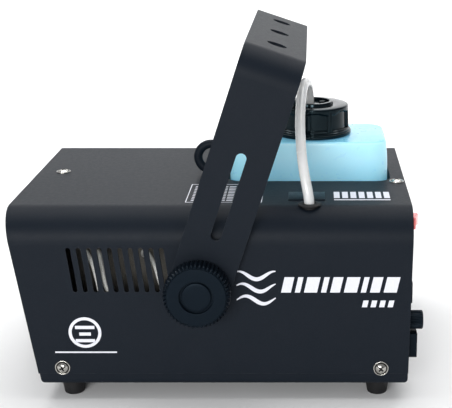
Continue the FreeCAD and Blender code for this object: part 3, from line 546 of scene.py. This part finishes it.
def make_feed_tube():
    """The milky tube that stands up out of the cap and bends over into the case."""
    curve = bpy.data.curves.new("feed_tube", "CURVE")
    curve.dimensions = "3D"
    spline = curve.splines.new("NURBS")
    spline.points.add(len(TUBE_ROUTE) - 1)
    for point, place in zip(spline.points, TUBE_ROUTE):
        point.co = (*(c * MM for c in place), 1)
    spline.order_u = 3
    spline.use_endpoint_u = True
    curve.resolution_u = 16
    curve.bevel_depth = TUBE_RADIUS * MM
    curve.bevel_resolution = 7
    curve.use_fill_caps = True
    tube = bpy.data.objects.new("feed_tube", curve)
    bpy.context.scene.collection.objects.link(tube)
    dress(tube, LOOKS["clear_tube"], "clear_tube", "case")
    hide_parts("fluid_tube")
    tuple(c * MM for c in TUBE_ROUTE[0])


# ---- tank and cap ----------------------------------------------------------------------------

def make_tank():
    """A blow-moulded tank: soft upright corners, walls leaning in to a rounded top edge, and a neck."""
    low, high = span("fluid_tank")
    corner, foot, hollow, lean, shoulder, edge = 17.0, 7.0, 0.7, 2.0, 26.0, 2.5
    top = span("tank_cap")[0].z - 0.4
    wall_low, wall_high = low.z + foot, top - shoulder
    # The wall's outline, as how far it is set in and how high it is.
    profile = arc((foot, wall_low), foot, -90, -180)
    profile += [(hollow * math.cos(math.pi * i / 8) ** 2, wall_low + (wall_high - wall_low) * i / 8)
                for i in range(1, 9)]
    profile += [(hollow + (lean - hollow) * (i / 6) ** 2, wall_high + (shoulder - edge) * i / 6)
                for i in range(1, 6)]
    profile += arc((lean + edge, top - edge), edge, 180, 90)
    left, right, front, back = low.x + corner, high.x - corner, low.y + corner, high.y - corner
    centers = ((right, back), (left, back), (left, front), (right, front))
    mesh = bmesh.new()
    rings = []
    for inset, z in profile:
        outline = [point for quarter, center in enumerate(centers)
                   for point in arc(center, corner - inset, 90 * quarter, 90 * quarter + 90, 8)]
        rings.append([mesh.verts.new(Vector((x, y, z)) * MM) for x, y in outline])
    for below, above in zip(rings, rings[1:]):
        band(mesh, below, above)
    mesh.faces.new(reversed(rings[0]))
    mesh.faces.new(rings[-1])
    axis = middle("tank_cap")
    neck = 27
    outline = [(0, top - 1), (neck + 1.5, top - 1), (neck, top + 0.6), (neck, high.z - 0.5),
               (neck - 0.5, high.z), (0, high.z)]
    lathe(mesh, outline, upright(axis.x, axis.y))
    finish_mesh("blown_tank", mesh, "fluid_tank", angle=50)


CAP_RIBS = 7
FIRST_RIB = 86  # degrees from +X, clockwise as seen from above


def make_cap():
    """The screw cap: sunk panels between ribs, a stepped flange and a ring with a peg on top."""
    axis = middle("tank_cap")
    low, high = heights("tank_cap")
    flange = span("tank_cap")[1].x - axis.x
    wall, bore = flange - 2, 27.6
    face, underside = high - 2.4, high - 6.4
    panel_depth, notch_depth, draft, rows = 2.1, 0.5, 0.5, 26

    def panels(angle, radius, height):
        """The wall's radius: sunk in between the ribs under an arch, with a notch down each rib."""
        if radius < wall - 3 or not low + 5 < height < face - 2:
            return radius
        pitch = 2 * math.pi / CAP_RIBS
        off = abs((angle + math.radians(FIRST_RIB) + pitch / 2) % pitch - pitch / 2)
        sunk = smooth_step(off * wall, 1.9, 2.9) * smooth_step(height, low + 5.4, low + 6.6)
        arch = face - 3.2 - 1.6 * smooth_step(off * wall, 11, 3)
        sunk *= 1 - smooth_step(height, arch - 1.4, arch)
        notch = notch_depth * (1 - smooth_step(off * wall, 0.15, 0.55))
        return radius - panel_depth * sunk - notch

    profile = [(bore, low), *arc((flange - 0.8, low + 0.8), 0.8, -90, 0, 4),
               *arc((flange - 0.8, low + 2.4), 0.8, 0, 90, 4),
               (wall + 0.9, low + 3.2), (wall + 0.8, low + 4.3), (wall, low + 4.8)]
    profile += [(wall - draft * i / rows, low + 5 + (face - 6.6 - low) * i / rows) for i in range(rows + 1)]
    profile += [*arc((wall - 2.1, face - 1.6), 1.6, 0, 80, 6), (20, face), (17.9, face - 0.2)]
    profile += [*arc((17.0, high - 0.6), 0.6, 0, 90, 3), *arc((15.1, high - 0.6), 0.6, 90, 180, 3),
                (14.5, face), (12, face - 0.5), (12, underside), (bore, underside), (bore, low)]
    at = upright(axis.x, axis.y)
    mesh = bmesh.new()
    lathe(mesh, profile, at, CAP_RIBS * 48, panels)
    ring, turn = 16.0, 0.5
    peg = Matrix.Translation(Vector((ring * math.cos(turn), ring * math.sin(turn), 0)))
    pin = [(0, face - 1), (2.3, face - 1), (2.0, high + 0.7), *arc((1.4, high + 0.9), 0.6, 0, 90, 3),
           (0, high + 1.5)]
    lathe(mesh, pin, at @ peg, 20)
    finish_mesh("screw_cap", mesh, "tank_cap", angle=40)


def make_bush():
    """The bush in the cap's middle that the tube stands in, with its two crossing bars."""
    axis = middle("tube_bush")
    low, high = heights("tube_bush")
    at = upright(axis.x, axis.y)
    flange, stem, shoulder = 15, 11.6, high - 2.4
    profile = [(0, low + 0.2), (flange - 0.4, low + 0.2), (flange, low + 0.6), (flange, low + 3),
               (stem, low + 3.2), (stem, shoulder), *arc((stem - 0.8, shoulder), 0.8, 0, 90, 3),
               (0, high - 1.6)]
    made = turned("feed_bush", profile, at, "tube_bush", steps=64)
    mesh = bmesh.new()
    x, y, bottom = TUBE_ROUTE[0]
    hole = [(0, bottom), (TUBE_RADIUS + 0.9, bottom), (TUBE_RADIUS + 1.6, high + 2), (0, high + 2)]
    lathe(mesh, hole, upright(x, y), 32)
    carve(made, mesh)
    bars = bmesh.new()
    out, level, size, first_turn = 9.0, high - 1.3, (5.2, 2.4, 2.2), 0.35
    for turn in (first_turn, first_turn + math.pi / 2):
        for side in (-1, 1):
            spoke = Matrix.Rotation(turn, 4, "Z") @ Matrix.Translation(Vector((side * out, 0, level)))
            block(bars, at @ spoke, size)
    bar_piece = finish_mesh("bush_bars", bars)
    dress(bar_piece, LOOKS["gloss_black"], "gloss_black", "case")
    soften(bar_piece, 0.4)


def make_grommet():
    """The soft ring that the tube goes through into the case."""
    x, y, _ = TUBE_ROUTE[-1]
    low, high = heights("tube_grommet")
    inner, body, lip, top = TUBE_RADIUS + 0.7, 6.8, 9, span("top_cover")[1].z
    profile = [(inner, low), (body - 0.2, low), (body, low + 0.3), (body, top), (lip - 0.6, top),
               *arc((lip - 0.8, top + 0.8), 0.8, -60, 80, 5),
               *arc((inner + 0.8, high - 0.8), 0.8, 90, 180, 4), (inner, low)]
    turned("soft_grommet", profile, upright(x, y), "tube_grommet", steps=48)


# ---- knobs, feet and fasteners ---------------------------------------------------------------

KNOB_RIBS = 48


def make_knob(name, way):
    """A ribbed clamping knob with a turned line on its face and a cap in its recess."""
    low, high = span("knob_" + name)
    center = (low + high) / 2
    thick = high.y - low.y
    radius = (high.z - low.z) / 2
    back = low.y if way > 0 else high.y
    at = laid((center.x, back, center.z), (0, way, 0))
    rib_root, rib_depth = radius - 3.1, 1.5

    def ribs(angle, r, height):
        if r < rib_root:
            return r
        wave = 0.5 + 0.5 * math.cos(KNOB_RIBS * angle)
        return r - rib_depth * (1 - wave ** 0.6) * smooth_step(r, rib_root, radius - 0.9)

    hole, face, recess, recess_floor = 4, radius - 2.6, 12.8, thick - 3
    profile = [(hole, 0.1), (radius - 3.2, 0.8), (radius - 1.4, 1.0), (radius - 0.2, 2.2), (radius, 3.4),
               (radius, thick - 3.6), (radius - 0.3, thick - 2.2), (radius - 1.2, thick - 1.1),
               (face + 0.7, thick - 0.55), (face + 0.2, thick - 0.9), (face - 0.3, thick - 0.9),
               (face - 0.7, thick - 0.15), (face - 1.6, thick - 0.1), (recess + 0.7, thick - 0.1),
               *arc((recess + 0.6, thick - 0.7), 0.6, 90, 180, 3), (recess, recess_floor),
               (hole, recess_floor), (hole, 0.1)]
    turned(f"ribbed_knob_{name}", profile, at, "knob_" + name, steps=KNOB_RIBS * 8, ripple=ribs, angle=28)
    cap, sunk = 11.2, 1.0
    edge = thick - sunk - 1.0
    profile = [(0, thick - 3.2), (cap, thick - 3.2), (cap, edge), *arc((cap - 0.8, edge), 0.8, 0, 80, 4),
               (cap - 3, thick - sunk - 0.07), (0, thick - sunk)]
    turned(f"knob_badge_{name}", profile, at, "knob_cap_" + name, steps=64)


def make_feet():
    """Four tapered rubber feet with a well for each screw."""
    mesh = bmesh.new()
    low, high = span("feet")
    hole, well, foot, root, rise = 2.3, 4.5, 8.0, 9.8, high.z
    for x in (low.x + root, high.x - root):
        for y in (low.y + root, high.y - root):
            profile = [(hole, 6), (well, 6), (well, 0.6), *arc((well + 0.6, 0.6), 0.6, 180, 270, 3),
                       *arc((foot - 1.4, 1.4), 1.4, -90, -5, 5), (root - 0.4, rise - 1.2), (root, rise - 0.8),
                       (root, rise), (hole, rise), (hole, 6)]
            lathe(mesh, profile, upright(x, y), 48)
    finish_mesh("rubber_feet", mesh, "feet")


def islands(mesh):
    """The vertices of each connected part of a mesh."""
    left = set(mesh.verts)
    while left:
        patch, todo = set(), [next(iter(left))]
        while todo:
            vert = todo.pop()
            if vert in patch:
                continue
            patch.add(vert)
            todo += [edge.other_vert(vert) for edge in vert.link_edges]
        left -= patch
        yield patch


def screw_places():
    """Every cup-washer screw's node, tip and outward direction, read from the CAD solids."""
    places = []
    for node in ("side_screws", "top_screws"):
        mesh = bmesh.new()
        mesh.from_mesh(frame["nodes"][node].data)
        bmesh.ops.remove_doubles(mesh, verts=mesh.verts, dist=WELD * MM)
        for patch in islands(mesh):
            points = [v.co / MM for v in patch]
            low = Vector([min(p[i] for p in points) for i in range(3)])
            high = Vector([max(p[i] for p in points) for i in range(3)])
            center = (low + high) / 2
            if node == "top_screws":
                places.append((node, Vector((center.x, center.y, high.z)), Vector((0, 0, 1))))
            else:
                way = 1 if center.y > 0 else -1
                tip = Vector((center.x, high.y if way > 0 else low.y, center.z))
                places.append((node, tip, Vector((0, way, 0))))
        mesh.free()
    return sorted(places, key=lambda place: (place[0], tuple(round(c, 2) for c in place[1])))


def cross_outline(reach, half):
    """The corners of a plus sign with arms of a half width."""
    outline = []
    for quarter in range(4):
        turn = Matrix.Rotation(quarter * math.pi / 2, 2)
        outline += [tuple(turn @ Vector(corner)) for corner in ((reach, -half), (reach, half), (half, half))]
    return outline


def make_cup_screws():
    """Domed cross-slotted screws in cup washers with a bright rim, on the sides and on top; the cups and the
    cross slots are painted dark as painted reflection and painted shade.
    """
    hole, head, dome, seat = 2.3, 4.1, 1.6, 0.9
    washer, rim, lift = 6.0, 0.5, 1.4
    slot_reach, slot_half, slot_floor, slot_top = 2.5, 0.62, 1.1, 3.6
    inner = washer - 2 * rim
    ball = (head * head + dome * dome) / (2 * dome)
    edge = math.asin(head / ball)
    crown = [(ball * math.sin(a), seat + dome - ball + ball * math.cos(a))
             for a in (edge * (1 - k / 8) for k in range(8))]
    cups, rims = bmesh.new(), bmesh.new()
    shown = set()
    for i, (node, tip, way) in enumerate(screw_places()):
        at = laid(tip - way * (dome + lift), way)
        lathe(cups, [(hole, 0), (inner, 0), (inner, rim), (head + 0.3, 0.4), (hole, 0.3), (hole, 0)], at, 48)
        lathe(rims, [(inner, 0), (washer, 0), *arc((washer - rim, rim), rim, 0, 180, 8), (inner, 0)], at, 48)
        mesh = bmesh.new()
        lathe(mesh, [(0, 0.4), (head - 0.3, 0.4), (head, 0.7), *crown, (0, seat + dome)], at, 48)
        if node in shown:
            screw = finish_mesh(f"cup_screw_{i}", mesh)
            dress(screw, LOOKS["nickel_steel"], "nickel_steel", "case")
        else:
            screw = finish_mesh(f"cup_screw_{i}", mesh, node)
            shown.add(node)
        cross = bmesh.new()
        turn = Matrix.Rotation(0.4 + i, 4, "Z")
        prism(cross, at @ turn, cross_outline(slot_reach, slot_half), slot_floor, slot_top)
        # The cross slot's cut faces are painted dark as painted shade.
        carve(screw, cross, look=NICKEL_PAINTED_DARK)
    # The cups are painted dark as a painted reflection; the rims keep plain nickel.
    finish_mesh("cup_rings_painted_dark", cups, "cup_washers").data.materials[0] = NICKEL_PAINTED_DARK.material
    dress(finish_mesh("cup_rims", rims), LOOKS["nickel_steel"], "nickel_steel", "case")


def make_eye():
    """The forged safety ring on its collar."""
    low, high = span("safety_eye")
    x, y = (low.x + high.x) / 2, (low.y + high.y) / 2
    outer = (high.x - low.x) / 2
    wire = 3.7
    mesh = bmesh.new()
    center = Vector((x, y, high.z - outer))
    lathe(mesh, arc((outer - wire, 0), wire, 0, 360, 20), laid(center, (0, 1, 0)), 72)
    deck = span("top_cover")[1].z
    stem, collar, shoulder = 2.9, 7.5, deck + 2.4
    profile = [(0, low.z), (stem, low.z), (stem, deck), (collar - 0.3, deck), (collar, deck + 0.4),
               (collar, shoulder), *arc((collar - 1, shoulder), 1, 0, 90, 4), (4.6, deck + 4.2),
               (0, deck + 4.4)]
    lathe(mesh, profile, upright(x, y), 48)
    finish_mesh("safety_ring", mesh, "safety_eye")


FUSE_RIBS = 24


def make_back_parts():
    """The sockets, rocker and fuse holder with their moulded edges rounded."""
    widths = {"rocker_frame": 0.6, "remote_socket": 0.7, "fuse_holder": 0.3, "inlet_shell": 0.9,
              "inlet_pins": 0.3, "blank_plate": 0.3}
    for node, width in widths.items():
        bevelled(node, width)
    bevelled("power_rocker", 1.4, 5)
    low, high = span("fuse_cap")
    center, radius = (low + high) / 2, (high.y - low.y) / 2
    tip = high.x - span("fuse_holder")[1].x
    rib_root, rib_depth, shank, shank_end, slot_size = radius - 1.5, 0.7, 4.4, -8, (1.3, 9.6, 2.6)

    def ribs(angle, r, height):
        if r < rib_root:
            return r
        wave = 0.5 - 0.5 * math.cos(FUSE_RIBS * angle)
        return r - rib_depth * wave * smooth_step(tip - height, 0.8, 2.4)

    profile = [(0, shank_end), (shank, shank_end), (shank, 0.3), (radius - 0.5, 0.3), (radius, 0.8),
               (radius, 4), (radius, tip - 2.4), *arc((radius - 1.1, tip - 1.1), 1.1, 0, 85, 5), (0, tip)]
    at = laid((high.x - tip, center.y, center.z), (1, 0, 0))
    cap = turned("fuse_grip", profile, at, "fuse_cap", steps=FUSE_RIBS * 10, ripple=ribs, angle=30)
    slot = bmesh.new()
    block(slot, at @ Matrix.Translation(Vector((0, 0, tip))), slot_size)
    carve(cap, slot)


def make_front():
    """The machined nozzle inside its collar."""
    low, high = span("nozzle")
    at = laid((0, 0, middle("nozzle").z), (-1, 0, 0))
    inner, tip, bore, pipe, body, groove = -high.x, -low.x, 1.6, 4.9, 8, 141
    profile = [(bore, inner), (pipe, inner), (pipe, inner + 14), (body, inner + 15), (body, groove),
               (body - 1, groove + 1), (body - 1, groove + 3), (body, groove + 4), (body, groove + 8),
               (5, tip - 1), *arc((3.6, tip - 1), 1, 0, 90, 4), (bore, tip), (bore, inner)]
    turned("machined_nozzle", profile, at, "nozzle", steps=48)
    bevelled("nozzle_shroud", 0.3, 2)
    bevelled("pivot_spacers", 0.5)


# ---- prints ----------------------------------------------------------------------------------

INK_LIFT, INK_THICK = 0.02, 0.12


def slab(mesh, at, outline):
    """A thin closed plate of ink on a surface; the outline is in millimetres across it."""
    prism(mesh, at, outline, INK_LIFT, INK_LIFT + INK_THICK)


def ink_bar(mesh, at, left, low, right, high, slant=0.0):
    """A bar that leans to the right by slant for each unit of its height."""
    lean = (high - low) * slant
    slab(mesh, at, [(left, low), (right, low), (right + lean, high), (left + lean, high)])


def ink_line(mesh, at, points, width):
    """A stroke along points, with mitred joints, as wide at each point as width(part of its length)."""
    count = len(points)
    left, right = [], []
    for i, point in enumerate(points):
        before, after = Vector(points[max(i - 1, 0)]), Vector(points[min(i + 1, count - 1)])
        along = (after - before).normalized()
        across = Vector((-along.y, along.x)) * width(i / (count - 1)) / 2
        left.append(tuple(Vector(point) + across))
        right.append(tuple(Vector(point) - across))
    slab(mesh, at, left + right[::-1])


def ink_frame(mesh, at, left, low, right, high, line):
    """A rectangle's outline as four bars."""
    ink_bar(mesh, at, left, low, right, low + line)
    ink_bar(mesh, at, left, high - line, right, high)
    ink_bar(mesh, at, left, low + line, left + line, high - line)
    ink_bar(mesh, at, right - line, low + line, right, high - line)


SLANT = 0.22


def print_side(mesh, at):
    """Three waves, a long and a short row of leaning bars, and a ring round bars over a line."""
    left, base, pitch, swell, step, per_wave = 20, 84, 10, 3.2, 1.15, 24
    for k in range(3):
        points = [(left + step * i, base + pitch * k + swell * math.sin(2 * math.pi * i / per_wave + 0.6 * k))
                  for i in range(27)]
        ink_line(mesh, at, points, lambda t: 0.8 + 2.4 * math.sin(math.pi * t))
    left, low, high, gap = 54, 90, 102.5, 3
    for wide in (7.5, 4, 10, 4, 7.5, 10, 4, 7.5, 10):
        ink_bar(mesh, at, left, low, left + wide, high, SLANT)
        left += wide + gap
    left, low, high, wide, pitch = 116, 78, 83.5, 4, 6.6
    for k in range(4):
        ink_bar(mesh, at, left + pitch * k, low, left + wide + pitch * k, high, SLANT)
    x, z, radius, stroke = -98, 57, 11.5, 2.4
    ring = arc((x, z), radius, 0, 360, 36)
    ink_line(mesh, at, ring[:-1] + [ring[0]], lambda t: stroke)
    for low, half in ((54.5, 4.5), (60, 7.5), (49, 7.5)):
        ink_bar(mesh, at, x - half, low, x + half, low + 2.6)
    half, low, line = 24, 40, 1.2
    ink_bar(mesh, at, x - half, low, x + half, low + line)


def print_top(mesh, at):
    """A framed panel of short bars like lines of print, and a row of upright bars over a line."""
    left, low, right, high, line = -21, -88.5, 38.7, -34.5, 0.7
    ink_frame(mesh, at, left, low, right, high, line)
    rows, words, row_pitch, row_height, gap, first, last = 10, 9, 4.6, 1.6, 1.2, left + 4, 35
    for row in range(rows):
        start, base = first, low + 4.5 + row_pitch * row
        for k in range(words):
            wide = 3.4 + 2.2 * math.sin(3.1 * row + 1.7 * k) ** 2
            if start + wide < last:
                ink_bar(mesh, at, start, base, start + wide, base + row_height)
            start += wide + gap
    left, low, high, wide, pitch, bars = 95, -76, -58, 4.6, 6.6, 7
    for k in range(bars):
        ink_bar(mesh, at, left + pitch * k, low, left + pitch * k + wide, high)
    ink_bar(mesh, at, left, low - 6, left + pitch * (bars - 1) + wide, low - 4)


def make_prints():
    """Plain generic marks where the case is printed, with no lettering."""
    side, deck = span("top_cover")[0].y, span("top_cover")[1].z
    standing = Matrix.Rotation(math.pi / 2, 4, "X")
    mesh = bmesh.new()
    print_side(mesh, Matrix.Scale(MM, 4) @ Matrix.Translation(Vector((0, side, 0))) @ standing)
    print_top(mesh, Matrix.Scale(MM, 4) @ Matrix.Translation(Vector((0, 0, deck))))
    dress(finish_mesh("plain_marks", mesh, angle=20), INK, "powder_black", "case")


give_materials()
make_camera()
make_feed_tube()
make_floor()
make_lights()
make_tank()
make_cap()
make_bush()
make_grommet()
for name, way in (("near", -1), ("far", 1)):
    make_knob(name, way)
make_feet()
make_cup_screws()
make_eye()
make_back_parts()
make_front()
make_prints()
